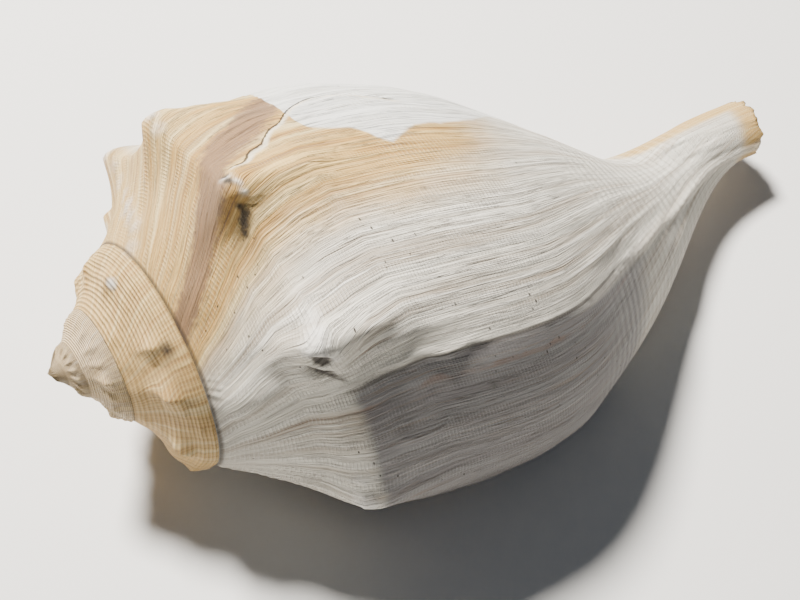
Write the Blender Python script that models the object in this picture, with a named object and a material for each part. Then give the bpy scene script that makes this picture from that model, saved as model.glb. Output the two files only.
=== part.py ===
"""Fossil knobbed whelk shell, one solid, lying on its aperture.

The shell is a right-handed spiral of about five whorls. It is first made about
its own axis: the apex is at the origin, +Z runs down the shell to the tip of the
siphonal canal, and the azimuth grows with the age of the shell. It is then laid
down at rest with its foot in the middle of the XY plane. Units are metres.
"""

import math

import bmesh
import bpy
from mathutils import Matrix, Vector

# Overall size
LENGTH = 0.180

# Spiral: the shoulder of the whorl, half a turn behind the lip
SHOULDER_RADIUS = 0.0385
SHOULDER_HEIGHT = 0.0300
GROWTH_PER_TURN = 2.0
REFERENCE_TURN = -0.5
LATE_NARROWING = 0.667
LATE_DROP = 0.65
FIRST_TURN = -4.5
FIRST_SCALE = 0.45

# Outline of one whorl
WIDEST_RADIUS_RATIO = 1.10
WIDEST_HEIGHT_RATIO = 1.80
BASE_GROWTH = 0.60
BASE_POWER = 2.0
LONGEST_BASE = 0.985
SUTURE_SHARE = 0.22
RAMP_SAG = 0.030

# Siphonal canal
CANAL_RADIUS = 0.0070
CANAL_SWAY = 0.0030
CANAL_SWAY_HEIGHT = 0.141
CANAL_SWAY_SPREAD = 0.020

# Knobs on the shoulder: azimuth in degrees back from the lip, and height in mm
KNOBS = (
    (-22, 3.4), (-74, 5.6), (-112, 5.6), (-150, 4.6), (-192, 4.2), (-219, 2.6),
    (-261, 2.6), (-302, 2.6), (-344, 2.4), (-374, 2.1), (-414, 2.0), (-442, 1.6),
    (-491, 1.6), (-524, 1.2), (-557, 1.1), (-594, 0.9), (-630, 0.8), (-667, 0.7),
    (-703, 0.6), (-740, 0.5), (-778, 0.45),
)
KNOB_OLD_SIDE = 10.0
KNOB_YOUNG_SIDE = 7.5
KNOB_TILT = math.radians(25)
KNOB_FADE = 0.55
MILLIMETRE = 0.001

# Facets of the solid
COLUMNS_PER_TURN = 80
END_AZIMUTH = 36.0
RAMP_STEPS = (0.0, 0.35, 0.70, 0.90, 1.0)
SIDE_STEPS = (SUTURE_SHARE, 0.45, 0.72, 1.0)
BASE_ROWS = 15

# Flatter back of the last whorl
BACK_AZIMUTH = -170.0
BACK_SPREAD = 42.0
BACK_FLATTENING = 0.075
BACK_TAPER = 0.25

# Lip and hollow
LIP_WALL = 0.0014
INNER_WALL = 0.0026
WALL_GROWS_OVER = 40.0
LIP_AZIMUTH = 6.0
LIP_SUTURE_AZIMUTH = 38.0
LIP_SWEEP_POWER = 1.5
HOLLOW_DEPTH = 216.0
HOLLOW_TAPER = 60.0
HOLLOW_END_SCALE = 0.55
HOLLOW_ROWS = 14
HOLLOW_RAMP_ROWS = 4
HOLLOW_RAMP_START = 0.20
HOLLOW_STEP = 6.0
OUTSIDE_STATIONS = [0.6, 10.0, 22.0, 34.0, 46.0]
HOLLOW_FOOT_SHARE = 0.93
HOLLOW_SHOULDER = 0.4
CALLUS = 0.0005
OUTSIDE = 0.012

# Trim of the lip beside the canal
TRIM_HEIGHTS = (0.158, 0.163, 0.168, 0.173, 0.179, 0.186)
TRIM_AZIMUTHS = (6.6, 16.0, 26.0, 36.0, 44.0)
TRIM_GAP = 0.0008

# Groove of the canal
GROOVE_RADIUS = 0.0044
GROOVE_SIDES = 16
GROOVE_PATH = (
    (0.138, 22.0, 0.0135, 1.25),
    (0.150, 38.0, 0.0085, 1.10),
    (0.163, 60.0, 0.0050, 1.00),
    (0.176, 75.0, 0.0038, 1.00),
    (0.190, 80.0, 0.0038, 1.05),
)

# Finish
SHELL_COLOUR = (0.62, 0.55, 0.46, 1.0)
SHELL_ROUGHNESS = 0.75

# Lying down
DOWN_AZIMUTH = math.radians(66.5)
AXIS_DIP = math.radians(8.45)
FLAT_DEPTH = 0.0005
FLOOR_BLOCK = 0.300


def remove_objects():
    """Clear the scene of its objects."""
    for obj in list(bpy.data.objects):
        bpy.data.objects.remove(obj, do_unlink=True)


def new_object(name, bm, collection):
    """Turn a bmesh into an object in a collection."""
    bmesh.ops.recalc_face_normals(bm, faces=bm.faces[:])
    mesh = bpy.data.meshes.new(name)
    bm.to_mesh(mesh)
    bm.free()
    obj = bpy.data.objects.new(name, mesh)
    collection.objects.link(obj)
    return obj


def back_share(turn):
    """How far a place belongs to the flatter back of the last whorl, from 0 to 1."""
    return math.exp(-((360.0 * turn - BACK_AZIMUTH) / BACK_SPREAD) ** 2)


def shoulder(turn):
    """Radius and height of the shoulder, where turn is 0 at the lip."""
    growth = math.log(GROWTH_PER_TURN) * (turn - REFERENCE_TURN)
    late = max(0.0, turn - REFERENCE_TURN)
    narrowing = math.log(GROWTH_PER_TURN) * LATE_NARROWING * late ** 2
    radius = SHOULDER_RADIUS * math.exp(growth - narrowing)
    radius *= 1.0 - BACK_FLATTENING * back_share(turn)
    height = SHOULDER_HEIGHT * math.exp(growth + LATE_DROP * late ** 2)
    return radius, height


def foot_height(turn):
    """Height at which a whorl has narrowed to the canal."""
    return min(LONGEST_BASE, math.exp(BASE_GROWTH * turn)) * LENGTH


def side_radius(turn, height):
    """Radius of a whorl below its shoulder, at a height."""
    rim, top = shoulder(turn)
    widest = WIDEST_RADIUS_RATIO * rim
    middle = WIDEST_HEIGHT_RATIO * top
    if height < middle:
        share = max(0.0, (middle - height) / (middle - top))
        return widest - (widest - rim) * share ** 2
    share = min(1.0, (height - middle) / max(foot_height(turn) - middle, MILLIMETRE))
    power = BASE_POWER + BACK_TAPER * back_share(turn)
    return CANAL_RADIUS + max(0.0, widest - CANAL_RADIUS) * (1.0 - share ** 2) ** power


def attachment(turn):
    """Radius and height at which the next whorl meets this one."""
    height = shoulder(turn)[1] * (1.0 + SUTURE_SHARE * (WIDEST_HEIGHT_RATIO - 1.0))
    return side_radius(turn, height), height


def ramp_point(turn, step):
    """Radius and height on the ramp, from the suture at 0 to the shoulder at 1."""
    rim, top = shoulder(turn)
    radius, height = (0.0, 0.0) if turn < FIRST_TURN + 1.0 else attachment(turn - 1.0)
    sag = RAMP_SAG * rim * 4.0 * step * (1.0 - step)
    radius += (rim - radius) * step - 0.5 * sag
    height += (top - height) * step + sag
    return radius, height


def ramp_slope(turn):
    """Angle of the ramp to the horizontal, in a plane through the axis."""
    rim, top = shoulder(turn)
    radius, height = attachment(turn - 1.0)
    return math.atan2(top - height, rim - radius)


def sway(height):
    """Sideways shift of the canal towards the lip."""
    share = (height - CANAL_SWAY_HEIGHT) / CANAL_SWAY_SPREAD
    return CANAL_SWAY * math.exp(-share ** 2)


def knob_height(degrees):
    """Height of the knobs at an azimuth on the shoulder."""
    total = 0.0
    for centre, height in KNOBS:
        offset = degrees - centre
        spread = KNOB_OLD_SIDE if offset < 0 else KNOB_YOUNG_SIDE
        total = max(total, height * MILLIMETRE * math.exp(-(offset / spread) ** 2))
    return total


def place(radius, height, degrees):
    """Point in space of a radius and a height at an azimuth."""
    angle = math.radians(degrees)
    return Vector((
        radius * math.cos(angle) + sway(height),
        radius * math.sin(angle),
        height,
    ))


def column(degrees, whole):
    """Points of the outer surface at one azimuth, from the ramp to the base."""
    turn = degrees / 360.0
    top = shoulder(turn)[1]
    knob = knob_height(degrees)
    points = []
    for step in RAMP_STEPS[1:]:
        radius, height = ramp_point(turn, step)
        swell = knob * step ** 3
        radius += swell * math.cos(KNOB_TILT)
        points.append(place(radius, height - swell * math.sin(KNOB_TILT), degrees))
    for step in SIDE_STEPS:
        height = top * (1.0 + step * (WIDEST_HEIGHT_RATIO - 1.0))
        swell = knob * math.exp(-(step / KNOB_FADE) ** 2)
        radius = side_radius(turn, height) + swell * math.cos(KNOB_TILT)
        points.append(place(radius, height - swell * math.sin(KNOB_TILT), degrees))
        if not whole and step == SUTURE_SHARE:
            return points
    middle = WIDEST_HEIGHT_RATIO * top
    for row in range(1, BASE_ROWS + 1):
        height = middle + (LENGTH - middle) * row / BASE_ROWS
        points.append(place(side_radius(turn, height), height, degrees))
    return points


def close_between(bm, outer, inner):
    """Fill the gap between two lines of points that start at the same point."""
    far = 1
    near = 0
    while far < len(outer) - 1 or near < len(inner) - 1:
        last = near == len(inner) - 1
        if last or (far < len(outer) - 1 and outer[far + 1].co.z <= inner[near + 1].co.z):
            following = outer[far + 1]
            corners = (outer[far], following, inner[near])
            far += 1
        else:
            following = inner[near + 1]
            corners = (outer[far], following, inner[near])
            near += 1
        bm.faces.new(corners)


def make_outer(collection):
    """Solid bounded by the outer surface of all whorls."""
    bm = bmesh.new()
    step = 360.0 / COLUMNS_PER_TURN
    start = FIRST_TURN * 360.0
    count = int(round((END_AZIMUTH - start) / step)) + 1
    first_whole = count - 1 - COLUMNS_PER_TURN
    joint = len(RAMP_STEPS)
    apex = bm.verts.new((0.0, 0.0, 0.0))
    columns = []
    for index in range(count):
        if index == 0:
            columns.append([apex] * (joint + 1))
            continue
        top = apex if index < COLUMNS_PER_TURN else columns[index - COLUMNS_PER_TURN][joint]
        points = column(start + index * step, index >= first_whole)
        if index < COLUMNS_PER_TURN:
            scale = max(FIRST_SCALE, math.sqrt(index / COLUMNS_PER_TURN))
            points = [point * scale for point in points]
        columns.append([top] + [bm.verts.new(point) for point in points])
    for left, right in zip(columns, columns[1:]):
        for row in range(min(len(left), len(right)) - 1):
            corners = []
            for vert in (left[row], left[row + 1], right[row + 1], right[row]):
                if vert not in corners:
                    corners.append(vert)
            if len(corners) > 2:
                bm.faces.new(corners)
    close_between(bm, columns[-1], columns[first_whole][joint:])
    bm.faces.new([line[-1] for line in columns[first_whole:]])
    bmesh.ops.triangulate(bm, faces=[face for face in bm.faces if len(face.verts) > 4])
    return new_object("shell", bm, collection)


def lip_azimuth(step):
    """Azimuth of the lip edge on the ramp, from the suture at 0 to the shoulder at 1."""
    return LIP_AZIMUTH + (LIP_SUTURE_AZIMUTH - LIP_AZIMUTH) * (1.0 - step) ** LIP_SWEEP_POWER


def hollow_section(along):
    """Closed section of the hollow, at an azimuth measured from the lip edge."""
    wall = LIP_WALL + (INNER_WALL - LIP_WALL) * min(1.0, max(0.0, -along) / WALL_GROWS_OVER)
    taper = min(1.0, (HOLLOW_DEPTH + along) / HOLLOW_TAPER)
    scale = HOLLOW_END_SCALE + (1.0 - HOLLOW_END_SCALE) * math.sin(0.5 * math.pi * taper)
    outer = []
    inner = []
    for row in range(HOLLOW_ROWS):
        if row < HOLLOW_RAMP_ROWS:
            ramp = HOLLOW_RAMP_START + (1.0 - HOLLOW_RAMP_START) * row / HOLLOW_RAMP_ROWS
            degrees = along + lip_azimuth(ramp)
            turn = degrees / 360.0
            radius, height = ramp_point(turn, ramp)
            slope = ramp_slope(turn)
            radius -= wall * math.sin(slope)
            height += wall * math.cos(slope)
        else:
            degrees = along + LIP_AZIMUTH
            turn = degrees / 360.0
            below = (row - HOLLOW_RAMP_ROWS + HOLLOW_SHOULDER) / (HOLLOW_ROWS - HOLLOW_RAMP_ROWS)
            top = shoulder(turn)[1]
            height = top + (HOLLOW_FOOT_SHARE * foot_height(turn) - top) * below
            radius = side_radius(turn, height) - wall
        if along > 0.0:
            radius += OUTSIDE
        wall_radius = max(side_radius(turn - 1.0, height), CANAL_RADIUS) + CALLUS
        radius = max(radius, wall_radius + MILLIMETRE)
        middle = 0.5 * (radius + wall_radius)
        outer.append(place(middle + scale * (radius - middle), height, degrees))
        inner.append(place(middle + scale * (wall_radius - middle), height, degrees))
    return outer + inner[::-1]


def loft(name, sections, collection):
    """Solid through closed sections of the same number of points."""
    bm = bmesh.new()
    rings = [[bm.verts.new(point) for point in section] for section in sections]
    count = len(rings[0])
    for left, right in zip(rings, rings[1:]):
        for index in range(count):
            following = (index + 1) % count
            bm.faces.new((left[index], left[following], right[following], right[index]))
    for ring in (rings[0], rings[-1]):
        for index in range(count // 2 - 1):
            other = count - 1 - index
            bm.faces.new((ring[index], ring[index + 1], ring[other - 1], ring[other]))
    return new_object(name, bm, collection)


def make_hollow(collection):
    """Cutter for the inside of the last whorl and the edge of the lip."""
    steps = int(HOLLOW_DEPTH / HOLLOW_STEP)
    stations = [-HOLLOW_DEPTH + HOLLOW_STEP * index for index in range(steps + 1)]
    stations += OUTSIDE_STATIONS
    return loft("hollow_cutter", [hollow_section(along) for along in stations], collection)


def make_trim(collection):
    """Cutter that ends the lip beside the canal."""
    sections = []
    for degrees in TRIM_AZIMUTHS:
        outer = [place(CANAL_RADIUS + OUTSIDE, height, degrees) for height in TRIM_HEIGHTS]
        inner = [place(CANAL_RADIUS + TRIM_GAP, height, degrees) for height in TRIM_HEIGHTS]
        sections.append(outer + inner[::-1])
    return loft("trim_cutter", sections, collection)


def make_groove(collection):
    """Cutter for the open groove of the canal."""
    sections = []
    for height, degrees, radius, scale in GROOVE_PATH:
        centre = place(radius, height, degrees)
        ring = []
        for side in range(GROOVE_SIDES):
            angle = 2.0 * math.pi * side / GROOVE_SIDES
            reach = GROOVE_RADIUS * scale
            ring.append(centre + Vector((reach * math.cos(angle), reach * math.sin(angle), 0.0)))
        sections.append(ring)
    return loft("groove_cutter", sections, collection)


def cut(target, cutter):
    """Take a cutter out of a target."""
    modifier = target.modifiers.new("cut_" + cutter.name, "BOOLEAN")
    modifier.operation = "DIFFERENCE"
    modifier.solver = "EXACT"
    modifier.object = cutter
    cutter.hide_render = True
    cutter.display_type = "WIRE"


def apply_modifiers(obj):
    """Replace the mesh of an object by its evaluated mesh."""
    graph = bpy.context.evaluated_depsgraph_get()
    mesh = bpy.data.meshes.new_from_object(obj.evaluated_get(graph))
    obj.modifiers.clear()
    obj.data = mesh
    return mesh


def lay_down(shell):
    """Turn the shell on to its aperture, with its foot centred on the origin."""
    turn = Matrix.Rotation(0.5 * math.pi + AXIS_DIP, 4, "Y") @ Matrix.Rotation(-DOWN_AZIMUTH, 4, "Z")
    shell.data.transform(turn)
    corners = [vertex.co for vertex in shell.data.vertices]
    low = [min(point[axis] for point in corners) for axis in range(3)]
    high = [max(point[axis] for point in corners) for axis in range(3)]
    middle = Vector((0.5 * (low[0] + high[0]), 0.5 * (low[1] + high[1]), low[2] + FLAT_DEPTH))
    shell.data.transform(Matrix.Translation(-middle))


def make_floor(collection):
    """Cutter that wears the resting points flat."""
    bm = bmesh.new()
    bmesh.ops.create_cube(bm, size=FLOOR_BLOCK)
    bmesh.ops.translate(bm, verts=bm.verts[:], vec=(0.0, 0.0, -0.5 * FLOOR_BLOCK))
    return new_object("floor_cutter", bm, collection)


def make_material():
    """Cream chalky shell."""
    material = bpy.data.materials.new("fossil_shell")
    material.use_nodes = True
    shader = material.node_tree.nodes["Principled BSDF"]
    shader.inputs["Base Color"].default_value = SHELL_COLOUR
    shader.inputs["Roughness"].default_value = SHELL_ROUGHNESS
    shader.inputs["Metallic"].default_value = 0.0
    return material


def main():
    """Build the shell."""
    remove_objects()
    parts = bpy.data.collections.new("whelk_shell")
    cutters = bpy.data.collections.new("cutters")
    bpy.context.scene.collection.children.link(parts)
    bpy.context.scene.collection.children.link(cutters)
    shell = make_outer(parts)
    cut(shell, make_hollow(cutters))
    cut(shell, make_trim(cutters))
    cut(shell, make_groove(cutters))
    apply_modifiers(shell)
    lay_down(shell)
    cut(shell, make_floor(cutters))
    shell.data.materials.append(make_material())


main()
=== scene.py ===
"""Looks of the fossil whelk shell, laid out as an add-on and run as a script."""

import math

import bmesh
import bpy
import numpy as np
from bpy.props import FloatProperty, FloatVectorProperty, PointerProperty
from mathutils import Matrix, Vector
from mathutils.kdtree import KDTree


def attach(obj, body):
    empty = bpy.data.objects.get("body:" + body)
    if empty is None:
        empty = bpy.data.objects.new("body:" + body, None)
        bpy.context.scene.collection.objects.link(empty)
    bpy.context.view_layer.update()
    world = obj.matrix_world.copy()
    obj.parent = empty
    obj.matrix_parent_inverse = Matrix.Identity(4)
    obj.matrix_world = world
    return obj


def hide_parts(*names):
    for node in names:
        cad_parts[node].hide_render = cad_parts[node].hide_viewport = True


bl_info = {
    "name": "Fossil whelk shell",
    "version": (1, 0, 0),
    "blender": (4, 5, 0),
    "location": "3D View > Sidebar > Whelk",
    "description": "Surface, finish and stage of a fossil whelk shell",
    "category": "Add Mesh",
}

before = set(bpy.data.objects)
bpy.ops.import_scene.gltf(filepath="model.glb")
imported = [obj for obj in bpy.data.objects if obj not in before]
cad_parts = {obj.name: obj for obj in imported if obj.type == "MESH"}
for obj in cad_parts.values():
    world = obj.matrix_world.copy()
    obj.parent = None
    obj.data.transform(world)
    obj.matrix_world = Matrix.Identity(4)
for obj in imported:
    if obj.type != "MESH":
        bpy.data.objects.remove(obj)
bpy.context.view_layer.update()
CAD_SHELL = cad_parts["shell"]
MM = 0.001

# Spiral of the shell, as in the solid
LENGTH = 0.180
SHOULDER_RADIUS = 0.0385
SHOULDER_HEIGHT = 0.0300
GROWTH = math.log(2.0)
REFERENCE_TURN = -0.5
LATE_NARROWING = 0.667
LATE_DROP = 0.65
FIRST_TURN = -4.5
FIRST_SCALE = 0.45
WIDEST_RADIUS_RATIO = 1.10
WIDEST_HEIGHT_RATIO = 1.80
BASE_GROWTH = 0.60
BASE_POWER = 2.0
LONGEST_BASE = 0.985
SUTURE_SHARE = 0.22
RAMP_SAG = 0.030
CANAL_RADIUS = 0.0070
CANAL_SWAY = 0.0030
CANAL_SWAY_HEIGHT = 0.141
CANAL_SWAY_SPREAD = 0.020
END_AZIMUTH = 36.0
BACK_AZIMUTH = -170.0
BACK_SPREAD = 42.0
BACK_FLATTENING = 0.075
BACK_TAPER = 0.25
DOWN_AZIMUTH = math.radians(66.5)
AXIS_DIP = math.radians(8.45)

# Azimuth in degrees from which the last whorl bears its marks
MARKS_FROM = -200.0

# Knobs: azimuth back from the lip in degrees, and height in mm
KNOBS = (
    (-24, 2.4), (-75, 6.6), (-112, 5.5), (-150, 5.0), (-192, 4.2), (-219, 2.6),
    (-261, 2.6), (-302, 2.6), (-344, 2.4), (-374, 2.1), (-414, 2.0), (-442, 1.6),
    (-491, 1.6), (-524, 1.2), (-557, 1.1), (-594, 0.9), (-630, 0.8), (-667, 0.7),
    (-703, 0.6), (-740, 0.5), (-778, 0.45),
)
KNOB_OLD_SIDE = 9.0
KNOB_YOUNG_SIDE = 6.2
KNOB_TILT = math.radians(25)
KNOB_FADE = 0.50
KNOB_POINT = 1.35
KNOB_GAIN = 1.18
KNOB_RISE = 0.15
EARLY_KNOB = 0.35 * MM
EARLY_END = -540.0
RIB_SPACING = 21.0
RIB_HEIGHT = 0.45 * MM

# Older whorls are rounder, with their knobs part way down the ramp
OLD_KNOB_STEP = 0.66
OLD_KNOB_SPREAD = 0.20
ROUND_FROM = 0.50
ROUNDING = 0.85

# Rounding of the shoulder of the last whorl
ROUND_ROWS = 4
ROUND_PASSES = 10

# Folds that run from a knob to the suture: growth line, spread in degrees, height in mm
RAMP_FOLDS = (
    (-78.0, 9.0, 2.0), (-62.0, 6.0, -1.8), (-51.0, 11.0, -3.6), (-28.0, 9.0, 0.8), (-117.0, 8.0, 0.9),
    (-103.0, 6.0, -0.9), (-93.0, 5.0, 0.4), (-152.0, 9.0, 0.8), (-136.0, 8.0, -0.6),
    (-192.0, 9.0, 0.7), (-172.0, 8.0, -0.6),
)

# Fine mesh of the surface
COLUMNS_PER_TURN = 400
RAMP_ROWS = 18
SUTURE_STEP = 0.006
NEAR_ROWS = 6
SIDE_ROWS = 24
BASE_ROWS = 82

# Hollow of the last whorl, as in the solid
LIP_WALL = 0.0014
INNER_WALL = 0.0026
WALL_GROWS_OVER = 40.0
LIP_AZIMUTH = 6.0
LIP_SUTURE_AZIMUTH = 38.0
HOLLOW_DEPTH = 216.0
HOLLOW_TAPER = 60.0
HOLLOW_END_SCALE = 0.55
HOLLOW_ROWS = 30
HOLLOW_RAMP_ROWS = 8
HOLLOW_RAMP_START = 0.20
HOLLOW_STEP = 3.0
HOLLOW_FOOT_SHARE = 0.93
HOLLOW_SHOULDER = 0.4
CALLUS = 0.0005
OUTSIDE = 0.012
TRIM_HEIGHTS = (0.158, 0.163, 0.168, 0.173, 0.179, 0.186)
TRIM_AZIMUTHS = (6.6, 16.0, 26.0, 36.0, 44.0)
TRIM_GAP = 0.0008
GROOVE_RADIUS = 0.0044
GROOVE_SIDES = 24
GROOVE_PATH = (
    (0.138, 22.0, 0.0135, 1.25),
    (0.150, 38.0, 0.0085, 1.10),
    (0.163, 60.0, 0.0050, 1.00),
    (0.176, 75.0, 0.0038, 1.00),
    (0.190, 80.0, 0.0038, 1.05),
)

# Cord coordinate in mm, from the suture across the ramp, the side and the base
RAMP_CORD = 25.0
SIDE_CORD = 37.0
BASE_CORD = 105.0

# Ridges of the older whorls, in radians per mm of the cord coordinate
OLD_CORDS = 3.4

# Break in growth, as the growth line that it follows
BREAK_LINE = -64.5
SECOND_BREAK_LINE = -58.0

# Crack across the ramp and up the side: height in mm, azimuth in degrees
CRACK = (
    (35.0, -116.6), (36.0, -117.5), (38.5, -118.0), (41.0, -121.5), (44.0, -123.0),
    (47.0, -127.4), (50.0, -129.0), (54.4, -134.0), (57.0, -135.2), (59.2, -135.6),
    (63.7, -133.5), (67.7, -130.1), (73.8, -126.2),
)
CRACK_ENDS = (35.0, 74.0)
LINE_SLANT = 0.8
BEAD_SPACING = 2.3

# Middle of the mauve band: height as a share of the shoulder's, growth line
MAUVE_BAND = (
    (0.60, -119.0), (0.80, -120.5), (0.92, -123.5), (1.00, -127.5), (1.10, -130.0),
    (1.30, -132.5), (1.60, -142.0), (1.80, -146.0),
)

# Edge of the bleached patch: height in mm, azimuth in degrees
BLEACHED_EDGE = (
    (50.0, -150.0), (51.5, -131.0), (52.4, -124.0), (53.8, -121.4), (56.8, -119.2),
    (60.3, -118.2), (62.5, -115.1), (65.4, -110.3), (67.0, -111.0), (69.1, -112.7),
    (72.6, -114.6), (76.1, -114.5), (79.1, -113.3), (83.8, -114.8), (88.5, -116.3),
    (100.0, -124.0),
)
BLEACHED_FROM = (51.2, 53.2)

# Ridge along the canal: height in mm, azimuth in degrees
CANAL_RIDGE = (
    (86.9, -59.1), (110.0, -57.0), (133.8, -54.0), (156.6, -43.0), (170.0, -40.0),
    (180.0, -38.0),
)

# Hollows and pits: azimuth in degrees, height, radius and depth in mm, darkness of the dark stain and of the
# painted shade in the hollows and crevices beside the knobs
PITS = (
    (-108.4, 34.3, 1.3, 1.2, 0.8), (-106.6, 34.3, 1.5, 1.8, 1.0), (-104.9, 34.3, 1.7, 2.0, 1.0),
    (-103.2, 34.4, 1.5, 1.2, 0.9),
    (-99.5, 34.4, 1.8, 0.7, 0.2), (-112.6, 33.7, 0.9, 0.7, 1.0), (-114.6, 33.3, 0.8, 0.6, 0.9),
    (-73.0, 36.4, 1.4, 1.7, 1.6), (-71.6, 36.9, 1.2, 1.6, 1.6), (-69.6, 37.3, 1.2, 1.2, 1.0),
    (-68.0, 38.1, 1.9, 2.0, 1.6), (-65.5, 39.5, 1.3, 1.2, 0.9), (-64.0, 40.8, 1.2, 0.9, 0.7),
    (-62.7, 41.9, 1.1, 0.6, 0.4),
    (-51.4, 69.7, 1.9, 0.7, 0.45), (-33.5, 45.4, 1.2, 0.6, 0.2), (-28.5, 46.0, 1.2, 0.5, 0.2),
    (-31.0, 43.2, 1.0, 0.5, 0.2), (-97.8, 66.9, 0.8, 0.4, 0.6), (-86.4, 60.2, 0.8, 0.4, 0.5),
    (-439.5, 18.3, 2.2, 0.6, 0.75), (-436.0, 18.8, 1.8, 0.3, 0.35), (-412.6, 19.7, 2.4, 0.5, 0.5),
)

# Worn pale places: azimuth in degrees, height and radius in mm, strength
WORN = (
    (-113.8, 33.6, 1.2, 0.7), (-111.4, 34.2, 1.0, 0.6), (-109.8, 35.4, 1.2, 0.7),
    (-85.7, 38.0, 2.2, 0.4), (-80.0, 36.8, 2.4, 0.6), (-76.5, 36.4, 2.2, 0.8),
    (-73.6, 36.3, 2.6, 1.0), (-73.0, 38.6, 2.2, 0.5), (-31.1, 44.6, 3.2, 0.5),
    (-24.0, 45.0, 3.6, 0.8), (-147.0, 31.6, 2.2, 0.5), (-150.0, 31.2, 2.0, 0.7),
    (-192.0, 28.0, 2.6, 0.6), (-219.0, 25.8, 2.2, 0.6), (-487.0, 14.6, 1.6, 0.8),
)

# Pale fold on the ramp: azimuth in degrees, height in mm
FOLD = (
    (-187.5, 28.4), (-183.9, 27.8), (-172.0, 26.2), (-161.3, 24.5), (-152.0, 23.4),
    (-144.2, 22.4), (-136.4, 19.8),
)

# Entries in the tables of smooth noise, along one coordinate and over two
NOISE_TABLE = 997
NOISE_TABLE_2D = 61

# Finish of the outside and of the inside
OUTER_ROUGHNESS = 0.66
INNER_ROUGHNESS = 0.42

# Stage, in metres and degrees
FLOOR_SIZE = 6.0
FLOOR_ROUGHNESS = 0.9
FILL_COLOUR = (0.80, 0.88, 1.0, 1.0)
KEY_DIRECTION = (-0.16, 0.49, 0.86)
KEY_DISTANCE = 0.9
KEY_SIZE = 0.16
KEY_COLOUR = (1.0, 0.96, 0.90)
CAMERA_PLACE = (-0.09344, -0.10855, 0.27515)
CAMERA_ANGLES = (27.404, -4.255, -28.265)
SENSOR_WIDTH = 36.0


class WhelkReliefSettings(bpy.types.PropertyGroup):
    """Heights of the relief on the shell."""

    growth: FloatProperty(
        name="Growth lines", description="Height of the growth lines",
        default=0.60 * MM, min=0.0, unit="LENGTH")
    break_step: FloatProperty(
        name="Growth break", description="Drop behind the break in growth",
        default=0.9 * MM, min=0.0, unit="LENGTH")
    folds: FloatProperty(
        name="Folds", description="Height of the folds on the ramp before the break",
        default=0.75 * MM, min=0.0, unit="LENGTH")
    crack: FloatProperty(
        name="Crack", description="Depth of the crack beside the largest knob",
        default=0.7 * MM, min=0.0, unit="LENGTH")
    canal_ridge: FloatProperty(
        name="Canal ridge", description="Height of the ridge along the canal",
        default=0.55 * MM, min=0.0, unit="LENGTH")
    lumps: FloatProperty(
        name="Lumps", description="Height of the broad lumps",
        default=0.35 * MM, min=0.0, unit="LENGTH")


class WhelkColourSettings(bpy.types.PropertyGroup):
    """Colours of the shell."""

    cream: FloatVectorProperty(
        name="Cream", description="Colour of the body of the shell", subtype="COLOR",
        default=(0.76, 0.725, 0.62), min=0.0, max=1.0)
    tan: FloatVectorProperty(
        name="Tan", description="Colour of the spire and the ramp", subtype="COLOR",
        default=(0.47, 0.262, 0.064), min=0.0, max=1.0)
    mauve: FloatVectorProperty(
        name="Mauve", description="Colour of the band before the crack", subtype="COLOR",
        default=(0.22, 0.125, 0.066), min=0.0, max=1.0)
    bleached: FloatVectorProperty(
        name="Bleached", description="Colour of the bleached patch", subtype="COLOR",
        default=(0.80, 0.80, 0.76), min=0.0, max=1.0)
    # Grey-lavender of the shell near the lip: partly its own colour, partly painted shade on the side that
    # turns away from the key light.
    grey_and_shade: FloatVectorProperty(
        name="Grey", description="Colour of the surface near the lip", subtype="COLOR",
        default=(0.165, 0.16, 0.175), min=0.0, max=1.0)
    # Dark brown of the dirt in cracks, pits and the suture, also used for the painted shade in hollows and
    # under the growth break.
    dirt_and_shade: FloatVectorProperty(
        name="Dirt", description="Colour in the cracks and pits", subtype="COLOR",
        default=(0.035, 0.025, 0.018), min=0.0, max=1.0)
    inside: FloatVectorProperty(
        name="Inside", description="Colour inside the aperture", subtype="COLOR",
        default=(0.66, 0.55, 0.42), min=0.0, max=1.0)


class WhelkStageSettings(bpy.types.PropertyGroup):
    """Floor, camera and lights."""

    floor: FloatVectorProperty(
        name="Floor", description="Colour of the floor", subtype="COLOR",
        default=(0.78, 0.77, 0.75), min=0.0, max=1.0)
    key_power: FloatProperty(
        name="Key light", description="Power of the key light in watts", default=34.0, min=0.0)
    fill: FloatProperty(
        name="Fill light", description="Strength of the light all round", default=0.125, min=0.0)
    lens: FloatProperty(
        name="Lens", description="Focal length in mm on a 36 mm sensor", default=58.5, min=1.0)


# Shape of the shell about its own axis: arrays of turns and heights in, metres out

def back_share(turn):
    """How far a place belongs to the flatter back of the last whorl, from 0 to 1."""
    return np.exp(-((360.0 * turn - BACK_AZIMUTH) / BACK_SPREAD) ** 2)


def shoulder(turn):
    """Radius and height of the shoulder, where turn is 0 at the lip."""
    late = np.maximum(0.0, turn - REFERENCE_TURN)
    growth = GROWTH * (turn - REFERENCE_TURN)
    radius = SHOULDER_RADIUS * np.exp(growth - GROWTH * LATE_NARROWING * late ** 2)
    radius = radius * (1.0 - BACK_FLATTENING * back_share(turn))
    height = SHOULDER_HEIGHT * np.exp(growth + LATE_DROP * late ** 2)
    return radius, height


def foot_height(turn):
    """Height at which a whorl has narrowed to the canal."""
    return np.minimum(LONGEST_BASE, np.exp(BASE_GROWTH * turn)) * LENGTH


def side_radius(turn, height):
    """Radius of a whorl below its shoulder, at a height."""
    rim, top = shoulder(turn)
    widest = WIDEST_RADIUS_RATIO * rim
    middle = WIDEST_HEIGHT_RATIO * top
    above = np.maximum(0.0, (middle - height) / (middle - top))
    below = np.clip((height - middle) / np.maximum(foot_height(turn) - middle, MM), 0.0, 1.0)
    power = BASE_POWER + BACK_TAPER * back_share(turn)
    waist = np.maximum(0.0, widest - CANAL_RADIUS) * (1.0 - below ** 2) ** power
    return np.where(height < middle, widest - (widest - rim) * above ** 2, CANAL_RADIUS + waist)


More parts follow.
